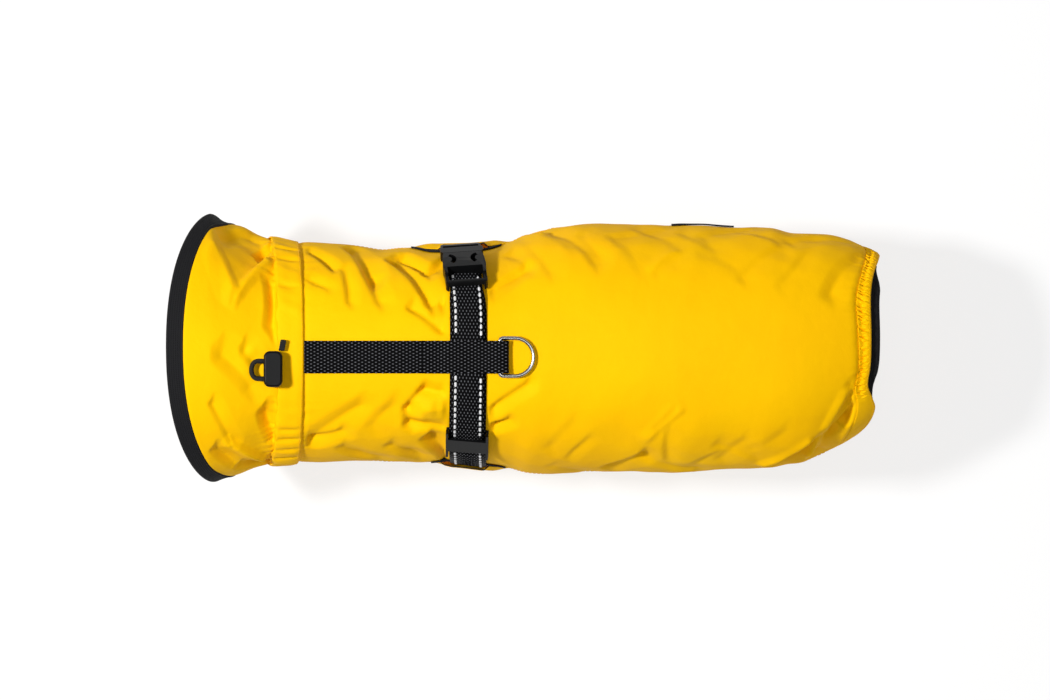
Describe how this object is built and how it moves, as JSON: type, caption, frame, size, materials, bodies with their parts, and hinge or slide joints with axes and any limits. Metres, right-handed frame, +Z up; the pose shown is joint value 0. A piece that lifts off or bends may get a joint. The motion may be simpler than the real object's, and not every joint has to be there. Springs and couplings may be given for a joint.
{
  "type": "dog raincoat",
  "caption": "Waterproof dog coat filled out as worn: hollow cloth tube with a flared collar, drawcord, gathered hem, webbing straps with a side-release buckle and a steel lead ring",
  "frame": {"origin": "inside face of the back, under the crossing of the spine strap and the girth strap, where the wearer carries the coat", "axes": "+X from the collar to the hem, +Y to the side with the buckle, +Z up out of the back"},
  "size_m": [0.5345, 0.2026, 0.216],
  "materials": {
    "cloth": "bright yellow coated woven rainwear cloth with a soft satin sheen",
    "ribbed_edging": "black ribbed elastic edging, matt",
    "webbing": "black woven webbing, the girth strap with light reflective stitch rows",
    "cord": "black braided elastic drawcord",
    "hardware_plastic": "near-black moulded plastic with a low sheen",
    "ring_steel": "polished stainless steel wire"
  },
  "bodies": {
    "coat": {"collar": "cloth", "collar_band": "ribbed_edging", "drawcord_channel": "cloth", "back_panel": "cloth", "belly_panel": "cloth", "hem_casing": "cloth", "hem_band": "ribbed_edging", "slit_edging_left_back": "ribbed_edging", "slit_edging_left_belly": "ribbed_edging", "slit_edging_right_back": "ribbed_edging", "slit_edging_right_belly": "ribbed_edging", "flank_edging": "ribbed_edging", "girth_strap_top": "webbing", "girth_strap_under": "webbing", "spine_strap": "webbing", "buckle_female": "hardware_plastic", "buckle_male": "hardware_plastic", "slider": "hardware_plastic", "cord_lock": "hardware_plastic", "cord_loop": "cord", "cord_tab": "hardware_plastic"},
    "d_ring": {"d_ring": "ring_steel"}
  },
  "joints": [
    {"name": "ring_hinge", "type": "hinge", "parent": "coat", "child": "d_ring", "pos_m": [0.024, 0, 0.00585], "axis": [0, -1, 0], "range_deg": [0, 140]}
  ]
}
